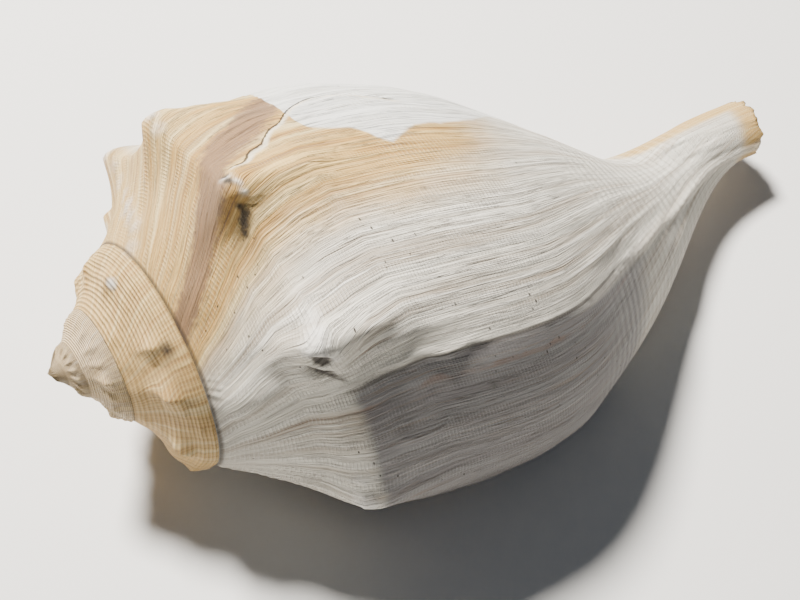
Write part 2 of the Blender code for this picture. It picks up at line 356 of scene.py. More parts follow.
def attachment(turn):
    """Radius and height at which the next whorl meets this one."""
    height = shoulder(turn)[1] * (1.0 + SUTURE_SHARE * (WIDEST_HEIGHT_RATIO - 1.0))
    return side_radius(turn, height), height


def ramp_point(turn, step):
    """Radius and height on the ramp, from the suture at 0 to the shoulder at 1."""
    rim, top = shoulder(turn)
    radius, height = attachment(turn - 1.0)
    first = turn < FIRST_TURN + 1.0
    radius = np.where(first, 0.0, radius)
    height = np.where(first, 0.0, height)
    sag = RAMP_SAG * rim * 4.0 * step * (1.0 - step)
    return radius + (rim - radius) * step - 0.5 * sag, height + (top - height) * step + sag


def ramp_slope(turn):
    """Angle of the ramp, in a plane through the axis."""
    rim, top = shoulder(turn)
    radius, height = attachment(turn - 1.0)
    return np.arctan2(top - height, rim - radius)


def place(radius, height, degrees):
    """Points in space as an array of three columns."""
    angle = np.radians(degrees)
    sway = CANAL_SWAY * np.exp(-((height - CANAL_SWAY_HEIGHT) / CANAL_SWAY_SPREAD) ** 2)
    return np.stack([radius * np.cos(angle) + sway, radius * np.sin(angle), height], axis=-1)


def knob_height(degrees):
    """Height of the knobs at an azimuth on the shoulder."""
    total = np.zeros_like(degrees)
    for centre, height in KNOBS:
        offset = degrees - centre
        spread = np.where(offset < 0, KNOB_OLD_SIDE, KNOB_YOUNG_SIDE)
        shape = np.exp(-np.abs(offset / spread) ** KNOB_POINT)
        total = np.maximum(total, (height * KNOB_GAIN + KNOB_RISE) * MM * shape)
    return total


def lead(share):
    """How far a growth line leads, in degrees, at a height as a share of the shoulder's."""
    points = (0.53, 0.61, 0.70, 0.79, 0.88, 1.0, 1.2, 1.4, 1.8, 2.3, 3.6, 4.0, 4.6)
    leads = (38.0, 29.0, 22.0, 15.0, 9.0, 4.5, 1.8, 0.5, 2.2, 5.0, 6.0, 2.0, -25.0)
    return np.interp(share, points, leads)


def value_noise(rng, position, size):
    """Smooth noise from -1 to 1 along one coordinate."""
    table = rng.uniform(-1.0, 1.0, size)
    base = np.floor(position).astype(int)
    part = position - base
    blend = part * part * (3.0 - 2.0 * part)
    return table[base % size] * (1.0 - blend) + table[(base + 1) % size] * blend


def value_noise_2d(rng, first, second, size):
    """Smooth noise from -1 to 1 over two coordinates."""
    table = rng.uniform(-1.0, 1.0, (size, size))
    low_a = np.floor(first).astype(int)
    low_b = np.floor(second).astype(int)
    part_a = first - low_a
    part_b = second - low_b
    blend_a = part_a * part_a * (3.0 - 2.0 * part_a)
    blend_b = part_b * part_b * (3.0 - 2.0 * part_b)
    near = table[low_a % size, low_b % size] * (1 - blend_b)
    near = near + table[low_a % size, (low_b + 1) % size] * blend_b
    far = table[(low_a + 1) % size, low_b % size] * (1 - blend_b)
    far = far + table[(low_a + 1) % size, (low_b + 1) % size] * blend_b
    return near * (1 - blend_a) + far * blend_a


def smooth_step(low, high, value):
    """Smooth change from 0 at low to 1 at high."""
    share = np.clip((value - low) / (high - low), 0.0, 1.0)
    return share * share * (3.0 - 2.0 * share)


class Surface:
    """Points of the outer surface and what is known at each of them."""

    def __init__(self):
        step = 360.0 / COLUMNS_PER_TURN
        start = FIRST_TURN * 360.0
        self.count = int(round((END_AZIMUTH - start) / step)) + 1
        self.first_whole = self.count - 1 - COLUMNS_PER_TURN
        degrees = start + step * np.arange(self.count)
        turn = (degrees / 360.0)[:, None]
        knob = knob_height(degrees)[:, None]
        rim, top = shoulder(turn)
        ramp = np.concatenate([[SUTURE_STEP], np.arange(1, RAMP_ROWS + 1) / RAMP_ROWS])[None, :]
        radius_a, height_a = ramp_point(turn, ramp)
        old = smooth_step(-0.80, -1.10, turn)
        knob = knob + EARLY_KNOB * (degrees < EARLY_END)[:, None] * knob / (knob + 0.3 * MM)
        ribs = (0.5 + 0.5 * np.cos(2.0 * math.pi * degrees / RIB_SPACING)) ** 2
        ribs = (RIB_HEIGHT * ribs * smooth_step(-500.0, -560.0, degrees))[:, None]
        swell_old = knob * np.exp(-((ramp - OLD_KNOB_STEP) / OLD_KNOB_SPREAD) ** 2)
        swell_a = knob * ramp ** 3 * (1.0 - old) + swell_old * old
        swell_a = swell_a + ribs * np.exp(-((ramp - 0.6) / 0.28) ** 2)
        near = SUTURE_SHARE * np.arange(1, NEAR_ROWS + 1) / NEAR_ROWS
        rest = SUTURE_SHARE + (1.0 - SUTURE_SHARE) * np.arange(1, SIDE_ROWS + 1) / SIDE_ROWS
        side = np.concatenate([near, rest])[None, :]
        height_b = top * (1.0 + side * (WIDEST_HEIGHT_RATIO - 1.0))
        radius_b = side_radius(turn, height_b)
        swell_b = knob * np.exp(-(side / KNOB_FADE) ** 2) * (1.0 - old)
        swell_b += old * knob * np.exp(-((1.0 - OLD_KNOB_STEP + 0.5 * side) / OLD_KNOB_SPREAD) ** 2)
        start_radius, start_height = ramp_point(turn, np.full_like(turn, ROUND_FROM))
        end_radius, end_height = attachment(turn)
        bend = int(round(ROUND_FROM * RAMP_ROWS))
        share = np.arange(RAMP_ROWS + NEAR_ROWS + 1 - bend)[None, :] / (RAMP_ROWS + NEAR_ROWS - bend)
        before, between, after = (1 - share) ** 2, 2 * share * (1 - share), share ** 2
        curve_radius = start_radius * before + rim * between + end_radius * after
        curve_height = start_height * before + top * between + end_height * after
        cut = RAMP_ROWS - bend
        mix = ROUNDING * old
        radius_a[:, bend + 1:] += mix * (curve_radius[:, 1:cut + 1] - radius_a[:, bend + 1:])
        height_a[:, bend + 1:] += mix * (curve_height[:, 1:cut + 1] - height_a[:, bend + 1:])
        radius_b[:, :NEAR_ROWS] += mix * (curve_radius[:, cut + 1:] - radius_b[:, :NEAR_ROWS])
        height_b[:, :NEAR_ROWS] += mix * (curve_height[:, cut + 1:] - height_b[:, :NEAR_ROWS])
        corner = slice(RAMP_ROWS - ROUND_ROWS, RAMP_ROWS + NEAR_ROWS + ROUND_ROWS)
        round_off = 0.15 + 0.85 * smooth_step(-74.0, -58.0, degrees)
        round_off = (round_off * smooth_step(-320.0, -290.0, degrees))[:, None]
        both_radius = np.concatenate([radius_a, radius_b], axis=1)
        both_height = np.concatenate([height_a, height_b], axis=1)
        for _ in range(ROUND_PASSES):
            for both in (both_radius, both_height):
                near_mean = 0.5 * (both[:, :-2] + both[:, 2:]) - both[:, 1:-1]
                both[:, 1:-1][:, corner] += 0.6 * (near_mean * round_off)[:, corner]
        radius_a, radius_b = np.split(both_radius, [RAMP_ROWS + 1], axis=1)
        height_a, height_b = np.split(both_height, [RAMP_ROWS + 1], axis=1)
        middle = WIDEST_HEIGHT_RATIO * top
        base = (np.arange(1, BASE_ROWS + 1) / BASE_ROWS)[None, :]
        height_c = middle + (LENGTH - middle) * base
        radius_c = side_radius(turn, height_c)
        swell = np.concatenate([swell_a, swell_b, np.zeros_like(radius_c)], axis=1)
        self.radius = np.concatenate([radius_a, radius_b, radius_c], axis=1)
        self.radius += swell * math.cos(KNOB_TILT)
        self.height = np.concatenate([height_a, height_b, height_c], axis=1)
        self.height -= swell * math.sin(KNOB_TILT)
        shape = self.radius.shape
        self.degrees = np.broadcast_to(degrees[:, None], shape).copy()
        scale = np.ones(self.count)
        young = np.arange(COLUMNS_PER_TURN)
        scale[:COLUMNS_PER_TURN] = np.maximum(FIRST_SCALE * young / 20.0, 0) * (young < 20)
        scale[:COLUMNS_PER_TURN] += np.maximum(FIRST_SCALE, np.sqrt(young / COLUMNS_PER_TURN)) * (young >= 20)
        self.radius *= scale[:, None]
        self.height *= scale[:, None]
        ragged = value_noise(np.random.default_rng(5), degrees / 9.0, NOISE_TABLE)[:, None]
        end = smooth_step(0.965, 1.0, base)
        self.height[:, -BASE_ROWS:] -= (0.9 + 0.9 * ragged) * MM * end
        self.share = self.height / top
        cord = np.concatenate([
            RAMP_CORD * ramp[0], RAMP_CORD + SIDE_CORD * side[0],
            RAMP_CORD + SIDE_CORD + BASE_CORD * base[0]])
        self.cord = np.broadcast_to(cord[None, :], shape).copy()
        self.size = np.broadcast_to(rim / SHOULDER_RADIUS, shape).copy()
        self.growth = self.degrees - lead(self.share)
        self.joint = RAMP_ROWS + NEAR_ROWS

    def point_at(self, points, degrees, height):
        """Point of the grid at an azimuth in degrees and a height in mm."""
        column = int(round((degrees - self.degrees[0, 0]) / 360.0 * COLUMNS_PER_TURN))
        row = int(np.argmin(np.abs(self.height[column] - height * MM)))
        return points[column, row]

    def relief(self, settings, points):
        """Height of the relief at each point, in metres."""
        rng = np.random.default_rng(11)
        growth, cord = self.growth, self.cord
        size = np.minimum(self.size, 1.2)
        lines = 0.6 * value_noise(rng, growth / 4.2, NOISE_TABLE)
        lines += 0.5 * (0.5 - np.abs(value_noise(rng, growth / 2.3 + 0.4, NOISE_TABLE)))
        lines *= 0.7 + 0.6 * value_noise_2d(rng, growth / 6.0, cord / 14.0, NOISE_TABLE_2D)
        on_ramp = smooth_step(1.04, 0.94, self.share) * smooth_step(-118.0, -104.0, growth)
        on_ramp *= smooth_step(-14.0, -30.0, growth)
        folds = 0.5 - np.abs(value_noise(rng, growth / 3.3 + 0.2, NOISE_TABLE))
        reach = np.clip(self.radius / SHOULDER_RADIUS, 0.0, 1.1)
        total = (settings.growth * lines + settings.folds * folds * on_ramp) * reach
        ramp = smooth_step(1.22, 0.97, self.share) * smooth_step(0.0, 7.0, cord)
        for line, spread, height in RAMP_FOLDS:
            total += height * MM * np.exp(-((growth - line) / spread) ** 2) * ramp * (self.degrees > -260)
        old = smooth_step(-330.0, -375.0, self.degrees)
        total += 0.16 * MM * np.sin(cord * OLD_CORDS) * old * np.minimum(size * 2.0, 1.0)
        lumps = value_noise_2d(rng, self.degrees / 17.0, cord / 16.0, NOISE_TABLE_2D)
        lumps += 0.5 * value_noise_2d(rng, self.degrees / 8.0, cord / 8.0, NOISE_TABLE_2D)
        total += settings.lumps * lumps * size
        last = (self.degrees > MARKS_FROM) * smooth_step(0.97, 1.12, self.share)
        for line, depth, fade, low, high in (
            (BREAK_LINE, 1.0, 9.0, 3.1, 2.5),
            (SECOND_BREAK_LINE, 0.55, 7.0, 2.3, 1.9),
        ):
            wander = value_noise(rng, cord / 6.0, NOISE_TABLE)
            wander += 0.5 * value_noise(rng, cord / 2.5, NOISE_TABLE)
            behind = growth - line + wander
            drop = smooth_step(0.0, 0.9, behind) * np.exp(-np.maximum(behind, 0.0) / fade)
            crest = 0.35 * np.exp(-((behind + 0.7) / 0.8) ** 2)
            extent = smooth_step(low, high, self.share) * last
            total += settings.break_step * depth * (crest - drop) * extent
        total -= 0.35 * MM * np.exp(-(cord / 0.9) ** 2) * size
        crack = self.beside(CRACK)
        height = self.height / MM
        cracked = smooth_step(CRACK_ENDS[0] - 0.5, CRACK_ENDS[0] + 0.5, height)
        cracked = cracked * smooth_step(CRACK_ENDS[1] + 1.0, CRACK_ENDS[1] - 4.0, height)
        cracked = cracked * (self.degrees > MARKS_FROM)
        total -= settings.crack * np.exp(-(crack / 0.55) ** 2) * cracked
        total += 0.45 * settings.crack * np.exp(-((crack - 1.4) / 0.9) ** 2) * cracked
        ridge = self.beside(CANAL_RIDGE)
        beads = 1.0 + 0.45 * np.sin(2.0 * math.pi * height / BEAD_SPACING)
        along = smooth_step(90.0, 104.0, height) * (self.degrees > MARKS_FROM)
        total += settings.canal_ridge * beads * np.exp(-(ridge / 0.9) ** 2) * along
        trough = smooth_step(0.2, 1.6, ridge) * np.exp(-np.maximum(ridge, 0.0) / 9.0)
        total -= settings.canal_ridge * trough * along
        for degrees, height, radius, depth, _ in PITS:
            away = np.linalg.norm(points - self.point_at(points, degrees, height), axis=-1) / MM
            total -= depth * MM * np.exp(-(away / radius) ** 2)
        for first, second in zip(FOLD, FOLD[1:]):
            for share in (0.0, 0.33, 0.67):
                degrees = first[0] + (second[0] - first[0]) * share
                height = first[1] + (second[1] - first[1]) * share
                away = np.linalg.norm(points - self.point_at(points, degrees, height), axis=-1) / MM
                total = np.maximum(total, 0.5 * MM * np.exp(-(away / 1.3) ** 2))
        return total

    def beside(self, line):
        """Signed distance in mm from a line of heights and azimuths, on its younger side positive."""
        heights, azimuths = np.array(line).T
        middle = np.interp(self.height / MM, heights, azimuths)
        away = np.radians(self.degrees - middle) * self.radius / MM * LINE_SLANT
        return np.clip(away, -30.0, 30.0)

    def build(self, settings):
        """Makes the closed mesh and returns it with the place of each vertex in the arrays."""
        bm = bmesh.new()
        points = place(self.radius, self.height, self.degrees)
        normal = self.normals(points)
        points = points + normal * self.relief(settings, points)[:, :, None]
        apex = bm.verts.new((0.0, 0.0, 0.0))
        rows_short = self.joint + 1
        columns = []
        home = [(1, 0)]
        for index in range(self.count):
            if index == 0:
                columns.append([apex] * (rows_short + 1))
                continue
            top = apex if index < COLUMNS_PER_TURN else columns[index - COLUMNS_PER_TURN][rows_short]
            rows = points.shape[1] if index >= self.first_whole else rows_short
            line = [top]
            for row in range(rows):
                line.append(bm.verts.new(points[index, row]))
                home.append((index, row))
            columns.append(line)
        for left, right in zip(columns, columns[1:]):
            for row in range(min(len(left), len(right)) - 1):
                corners = []
                for vert in (left[row], left[row + 1], right[row + 1], right[row]):
                    if vert not in corners:
                        corners.append(vert)
                if len(corners) > 2:
                    bm.faces.new(corners)
        close_between(bm, columns[-1], columns[self.first_whole][rows_short:])
        tip = bm.faces.new([line[-1] for line in columns[self.first_whole:]])
        bmesh.ops.triangulate(bm, faces=[tip])
        return bm, np.array(home)

    def normals(self, points):
        """Outward direction at each point of the grid."""
        along = np.gradient(points, axis=0)
        across = np.gradient(points, axis=1)
        normal = np.cross(across, along)
        length = np.linalg.norm(normal, axis=-1, keepdims=True)
        normal = normal / np.maximum(length, 1e-12)
        outward = place(np.ones_like(self.radius), self.height * 0.0, self.degrees)
        flip = np.sign(np.sum(normal * outward, axis=-1, keepdims=True))
        return normal * np.where(flip == 0, 1.0, flip)


def close_between(bm, outer, inner):
    """Fill the gap between two lines of points that start at the same point."""
    far = 1
    near = 0
    while far < len(outer) - 1 or near < len(inner) - 1:
        last = near == len(inner) - 1
        if last or (far < len(outer) - 1 and outer[far + 1].co.z <= inner[near + 1].co.z):
            following = outer[far + 1]
            corners = (outer[far], following, inner[near])
            far += 1
        else:
            following = inner[near + 1]
            corners = (outer[far], following, inner[near])
            near += 1
        bm.faces.new(corners)


def lip_azimuth(step):
    """Azimuth of the lip edge on the ramp, from the suture at 0 to the shoulder at 1."""
    return LIP_AZIMUTH + (LIP_SUTURE_AZIMUTH - LIP_AZIMUTH) * (1.0 - step) ** 1.5


def hollow_section(along):
    """Closed section of the hollow, at an azimuth measured from the lip edge."""
    wall = LIP_WALL + (INNER_WALL - LIP_WALL) * min(1.0, max(0.0, -along) / WALL_GROWS_OVER)
    taper = min(1.0, (HOLLOW_DEPTH + along) / HOLLOW_TAPER)
    scale = HOLLOW_END_SCALE + (1.0 - HOLLOW_END_SCALE) * math.sin(0.5 * math.pi * taper)
    outer = []
    inner = []
    for row in range(HOLLOW_ROWS):
        if row < HOLLOW_RAMP_ROWS:
            ramp = HOLLOW_RAMP_START + (1.0 - HOLLOW_RAMP_START) * row / HOLLOW_RAMP_ROWS
            degrees = along + lip_azimuth(ramp)
            turn = degrees / 360.0
            radius, height = ramp_point(turn, ramp)
            slope = ramp_slope(turn)
            radius = radius - wall * math.sin(slope)
            height = height + wall * math.cos(slope)
        else:
            degrees = along + LIP_AZIMUTH
            turn = degrees / 360.0
            below = (row - HOLLOW_RAMP_ROWS + HOLLOW_SHOULDER) / (HOLLOW_ROWS - HOLLOW_RAMP_ROWS)
            top = shoulder(turn)[1]
            height = top + (HOLLOW_FOOT_SHARE * foot_height(turn) - top) * below
            radius = side_radius(turn, height) - wall
        if along > 0.0:
            radius = radius + OUTSIDE
        wall_radius = np.maximum(side_radius(turn - 1.0, height), CANAL_RADIUS) + CALLUS
        radius = np.maximum(radius, wall_radius + MM)
        middle = 0.5 * (radius + wall_radius)
        outer.append(place(middle + scale * (radius - middle), height, degrees))
        inner.append(place(middle + scale * (wall_radius - middle), height, degrees))
    return outer + inner[::-1]


def loft(name, sections):
    """Cutter through closed sections of the same number of points."""
    bm = bmesh.new()
    rings = [[bm.verts.new(point) for point in section] for section in sections]
    count = len(rings[0])
    for left, right in zip(rings, rings[1:]):
        for index in range(count):
            following = (index + 1) % count
            bm.faces.new((left[index], left[following], right[following], right[index]))
    for ring in (rings[0], rings[-1]):
        for index in range(count // 2 - 1):
            other = count - 1 - index
            bm.faces.new((ring[index], ring[index + 1], ring[other - 1], ring[other]))
    bmesh.ops.recalc_face_normals(bm, faces=bm.faces[:])
    mesh = bpy.data.meshes.new(name)
    bm.to_mesh(mesh)
    bm.free()
    cutter = bpy.data.objects.new(name, mesh)
    bpy.context.scene.collection.objects.link(cutter)
    return cutter


def make_cutters():
    """Hollow of the last whorl, the end of the lip and the groove of the canal."""
    steps = int(HOLLOW_DEPTH / HOLLOW_STEP)
    stations = [-HOLLOW_DEPTH + HOLLOW_STEP * index for index in range(steps + 1)]
    stations += [0.6, 10.0, 22.0, 34.0, 46.0]
    hollow = loft("hollow_cutter", [hollow_section(along) for along in stations])
    sections = []
    for degrees in TRIM_AZIMUTHS:
        outer = [place(CANAL_RADIUS + OUTSIDE, height, degrees) for height in TRIM_HEIGHTS]
        inner = [place(CANAL_RADIUS + TRIM_GAP, height, degrees) for height in TRIM_HEIGHTS]
        sections.append(outer + inner[::-1])
    trim = loft("trim_cutter", sections)
    sections = []
    for height, degrees, radius, scale in GROOVE_PATH:
        centre = place(radius, height, degrees)
        ring = []
        for side in range(GROOVE_SIDES):
            angle = 2.0 * math.pi * side / GROOVE_SIDES
            reach = GROOVE_RADIUS * scale
            ring.append(centre + np.array([reach * math.cos(angle), reach * math.sin(angle), 0.0]))
        sections.append(ring)
    return hollow, trim, loft("groove_cutter", sections)


def resting_place():
    """Turn and shift from the shell's own axis to its place in the frame."""
    turn = Matrix.Rotation(0.5 * math.pi + AXIS_DIP, 4, "Y") @ Matrix.Rotation(-DOWN_AZIMUTH, 4, "Z")
    apex = min((vertex.co for vertex in CAD_SHELL.data.vertices), key=lambda point: point.x)
    return Matrix.Translation(apex) @ turn


def store(mesh, name, values):
    """Keep a value for each vertex under a name."""
    layer = mesh.attributes.new(name, "FLOAT", "POINT")
    layer.data.foreach_set("value", np.asarray(values, dtype=np.float32))


class Term:
    """A shader socket with arithmetic."""

    tree = None

    def __init__(self, socket):
        self.socket = socket

    @classmethod
    def node(cls, kind, settings=None, **inputs):
        """A node of any type with its settings and inputs."""
        made = cls.tree.nodes.new(kind)
        for key, value in (settings or {}).items():
            setattr(made, key, value)
        for key, value in inputs.items():
            numbered = key[0] == "i" and key[1:].isdigit()
            target = made.inputs[int(key[1:]) if numbered else key.replace("_", " ")]
            if isinstance(value, Term):
                cls.tree.links.new(value.socket, target)
            else:
                target.default_value = value
        return made

    @classmethod
    def maths(cls, operation, *values):
        """A Math node on sockets or numbers."""
        settings = {"operation": operation}
        made = cls.node("ShaderNodeMath", settings, **{f"i{i}": v for i, v in enumerate(values)})
        return cls(made.outputs[0])

    def __add__(self, other):
        return Term.maths("ADD", self, other)

    def __radd__(self, other):
        return Term.maths("ADD", other, self)

    def __sub__(self, other):
        return Term.maths("SUBTRACT", self, other)

    def __rsub__(self, other):
        return Term.maths("SUBTRACT", other, self)

    def __mul__(self, other):
        return Term.maths("MULTIPLY", self, other)

    def __rmul__(self, other):
        return Term.maths("MULTIPLY", other, self)

    def __truediv__(self, other):
        return Term.maths("DIVIDE", self, other)

    def __rtruediv__(self, other):
        return Term.maths("DIVIDE", other, self)

    def between(self, low, high):
        """Smooth change from 0 at low to 1 at high, or down where low is the larger."""
        if low > high:
            return 1.0 - self.between(high, low)
        settings = {"interpolation_type": "SMOOTHSTEP"}
        made = Term.node("ShaderNodeMapRange", settings, Value=self, From_Min=low, From_Max=high)
        return Term(made.outputs[0])


def attribute(name):
    """A value kept on the mesh."""
    return Term(Term.node("ShaderNodeAttribute", {"attribute_name": name}).outputs["Fac"])


def vector(first, second, third=0.0):
    """Three values as one vector."""
    return Term(Term.node("ShaderNodeCombineXYZ", X=first, Y=second, Z=third).outputs[0])


def noise(where, scale, detail=3.0, roughness=0.55):
    """Noise around 0.5 at a place."""
    made = Term.node(
        "ShaderNodeTexNoise", None, Vector=where, Scale=scale, Detail=detail, Roughness=roughness)
    return Term(made.outputs["Fac"])


def blend(factor, first, second):
    """Colour between two colours."""
    settings = {"data_type": "RGBA"}
    made = Term.node("ShaderNodeMix", settings, i0=factor, i6=first, i7=second)
    return Term(made.outputs[2])


def solid(colour):
    """Colour with its alpha."""
    return (*colour, 1.0)


def new_material(name):
    """Material with an empty Principled BSDF, made current for Term."""
    material = bpy.data.materials.new(name)
    material.use_nodes = True
    Term.tree = material.node_tree
    return material, material.node_tree.nodes["Principled BSDF"]


def outer_material(colours):
    """Chalky fossil surface with growth lines, cords, stains, cracks and pits, with painted shade near the
    lip, in hollows and under the growth break.
    """
    material, shader = new_material("fossil_shell")
    growth, cord, size = attribute("growth"), attribute("cord"), attribute("size")
    where = Term(Term.node("ShaderNodeTexCoord").outputs["Object"])
    grain = noise(where, 900.0, 4.0)
    cloud = noise(where, 90.0, 4.0)
    patches = noise(where, 35.0, 3.0)
    coarse = noise(vector(growth * 0.22, cord * 0.012), 1.0, 2.0)
    lines = noise(vector(growth * 0.75, cord * 0.018), 1.0, 4.0, 0.65)
    fine = noise(vector(growth * 2.6, cord * 0.04), 1.0, 3.0, 0.7)
    reach, old = attribute("reach"), attribute("old")
    ridges = Term.maths("SINE", cord * OLD_CORDS + cloud * 2.5) * 0.5 + 0.5
    ridges = ridges * old
    wave = Term.maths("SINE", cord * 8.5 + lines * 2.0 + cloud * 9.0)
    broken = noise(vector(growth * 0.30, cord * 0.05), 1.0).between(0.42, 0.62)
    cords = (wave * 0.5 + 0.5).between(0.35, 0.95) * broken
    bands = Term.maths("SINE", cord * 2.75 + lines * 1.5) * 0.5 + 0.5
    bands = bands * attribute("neck")

    colour = blend(coarse.between(0.34, 0.60), (0.47, 0.40, 0.31, 1.0), solid(colours.cream))
    colour = blend(lines.between(0.46, 0.64), colour, (0.84, 0.80, 0.70, 1.0))
    tan = (attribute("tan") + (cloud - 0.5) * 0.3 + (coarse - 0.5) * 0.5).between(0.25, 0.8)
    tan_colour = blend(lines.between(0.40, 0.62), solid(colours.tan), (0.72, 0.49, 0.18, 1.0))
    tan_colour = blend(coarse.between(0.5, 0.72) * 0.8, tan_colour, (0.80, 0.63, 0.32, 1.0))
    colour = blend(tan, colour, tan_colour)
    # Grey near the lip: partly the shell's own grey-lavender, partly painted shade where the side turns away
    # from the light. The cords fade there too.
    grey_and_shade = (attribute("grey_and_shade") + (coarse - 0.5) * 0.5).between(0.3, 0.8)
    colour = blend(grey_and_shade * 0.82, colour, solid(colours.grey_and_shade))
    mauve = attribute("mauve") + (grain - 0.5) * 1.1 + (lines - 0.5) * 0.5 + (cloud - 0.5) * 0.4
    mauve = mauve.between(0.15, 0.95)
    colour = blend(mauve * 0.92, colour, solid(colours.mauve))
    bleached = (attribute("bleached") + (cloud - 0.5) * 0.5 + (patches - 0.5) * 0.6).between(0.40, 0.60)
    colour = blend(bleached, colour, solid(colours.bleached))
    hair = noise(vector(growth * 0.55, cord * 0.012), 1.0, 2.0, 0.8)
    hair = 1.0 - Term.maths("ABSOLUTE", hair - 0.5).between(0.004, 0.020)
    hair = hair + 1.0 - Term.maths("ABSOLUTE", lines - 0.56).between(0.003, 0.014)
    streaks = hair * 0.26 + fine.between(0.54, 0.68) * 0.36 + lines.between(0.42, 0.34) * 0.42
    streaks = streaks * (1.0 - bleached * 0.85) * reach.between(0.10, 0.65) * (1.0 - old * 0.45)
    streaks = streaks + old * (1.0 - ridges).between(0.62, 0.95) * 0.35
    colour = blend(streaks, colour, (0.22, 0.15, 0.10, 1.0))
    cord_colour = blend(tan, (0.88, 0.85, 0.78, 1.0), (0.84, 0.68, 0.42, 1.0))
    cords = cords * (1.0 - mauve * 0.75) * (1.0 - old) * (1.0 - grey_and_shade * 0.7) * (1.0 - tan * 0.35)
    colour = blend(cords * 0.27 + bands * 0.20 + ridges.between(0.6, 1.0) * 0.25, colour, cord_colour)
    worn = (attribute("worn") + (cloud - 0.5) * 0.5 + (grain - 0.5) * 0.3).between(0.15, 0.85)
    colour = blend(worn * 0.9, colour, (0.82, 0.79, 0.73, 1.0))
    ridge = growth - BREAK_LINE + (lines - 0.5) * 2.0
    on_break = attribute("last")
    edge = (1.0 - Term.maths("ABSOLUTE", ridge + 0.8).between(0.3, 1.2)) * on_break
    colour = blend(edge * 0.7, colour, (0.84, 0.79, 0.68, 1.0))
    # Painted shade in a band just below the step of the growth break, darkened with the dirt colour.
    under = (1.0 - Term.maths("ABSOLUTE", ridge - 0.5).between(0.2, 0.9)) * on_break
    canal = attribute("ridge")
    crest = (1.0 - Term.maths("ABSOLUTE", canal).between(0.5, 1.6)) * attribute("ridged")
    colour = blend(crest * 0.55, colour, (0.86, 0.80, 0.68, 1.0))
    second = growth - SECOND_BREAK_LINE + (cloud - 0.5) * 5.0
    rust = (1.0 - Term.maths("ABSOLUTE", second).between(0.2, 1.2)) * on_break
    colour = blend(rust * cloud.between(0.4, 0.65) * 0.5, colour, (0.26, 0.14, 0.09, 1.0))
    crack = attribute("crack") + (noise(where, 260.0, 3.0) - 0.5) * 1.6
    cracked = attribute("cracked")
    pale_edge = crack.between(0.1, 0.5) * crack.between(1.9, 0.9) * cracked
    colour = blend(pale_edge * 0.9, colour, (0.86, 0.76, 0.58, 1.0))
    gap = (1.0 - Term.maths("ABSOLUTE", crack).between(0.10, 0.34)) * cracked
    cells = Term.node("ShaderNodeTexVoronoi", None, Vector=vector(growth * 0.20, cord * 0.45), Scale=1.0)
    pit = Term(cells.outputs["Distance"])
    pit = (1.0 - (pit + (grain - 0.5) * 0.06).between(0.05, 0.10)) * patches.between(0.52, 0.60)
    # Dark stains in the pits, partly painted shade in the hollows and crevices beside the largest knobs.
    stain_and_shade = (attribute("stain_and_shade") + (cloud - 0.5) * 0.3 + (grain - 0.5) * 0.3).between(0.20, 0.85)
    suture = 1.0 - (cord / size + (cloud - 0.5) * 0.6).between(0.35, 1.0)
    # Dirt in cracks, pits and the suture, and painted shade in the hollows and under the growth break, all
    # darkened with one colour.
    dirt_and_shade = Term.maths("MAXIMUM", Term.maths("MAXIMUM", gap, pit), Term.maths("MAXIMUM", stain_and_shade, suture * 0.85))
    dirt_and_shade = Term.maths("MAXIMUM", dirt_and_shade, under * 0.7)
    colour = blend(dirt_and_shade * 0.92, colour, solid(colours.dirt_and_shade))

    height = (lines * 0.0007 + fine * 0.00028 - hair * 0.00012) * reach * (1.0 - old * 0.4)
    height = height + cords * 0.00013 + bands * 0.00030 + grain * 0.00007 + ridges * 0.00022
    height = height - gap * 0.0005 - pit * 0.0004 + worn * cloud * 0.0008
    bump = Term.node("ShaderNodeBump", None, Strength=1.0, Distance=1.0, Height=height)
    Term.tree.links.new(colour.socket, shader.inputs["Base Color"])
    Term.tree.links.new(bump.outputs[0], shader.inputs["Normal"])
    shader.inputs["Roughness"].default_value = OUTER_ROUGHNESS
    shader.inputs["Specular IOR Level"].default_value = 0.4
    return material


def inner_material(colours):
    """Smooth pale inside of the aperture."""
    material, shader = new_material("shell_inside")
    where = Term(Term.node("ShaderNodeTexCoord").outputs["Object"])
    cloud = noise(where, 60.0, 4.0)
    colour = blend(cloud.between(0.35, 0.7), solid(colours.inside), (0.74, 0.67, 0.57, 1.0))
    Term.tree.links.new(colour.socket, shader.inputs["Base Color"])
    height = cloud * 0.0004 + noise(where, 700.0, 3.0) * 0.00008
    bump = Term.node("ShaderNodeBump", None, Strength=0.6, Distance=1.0, Height=height)
    Term.tree.links.new(bump.outputs[0], shader.inputs["Normal"])
    shader.inputs["Roughness"].default_value = INNER_ROUGHNESS
    return material


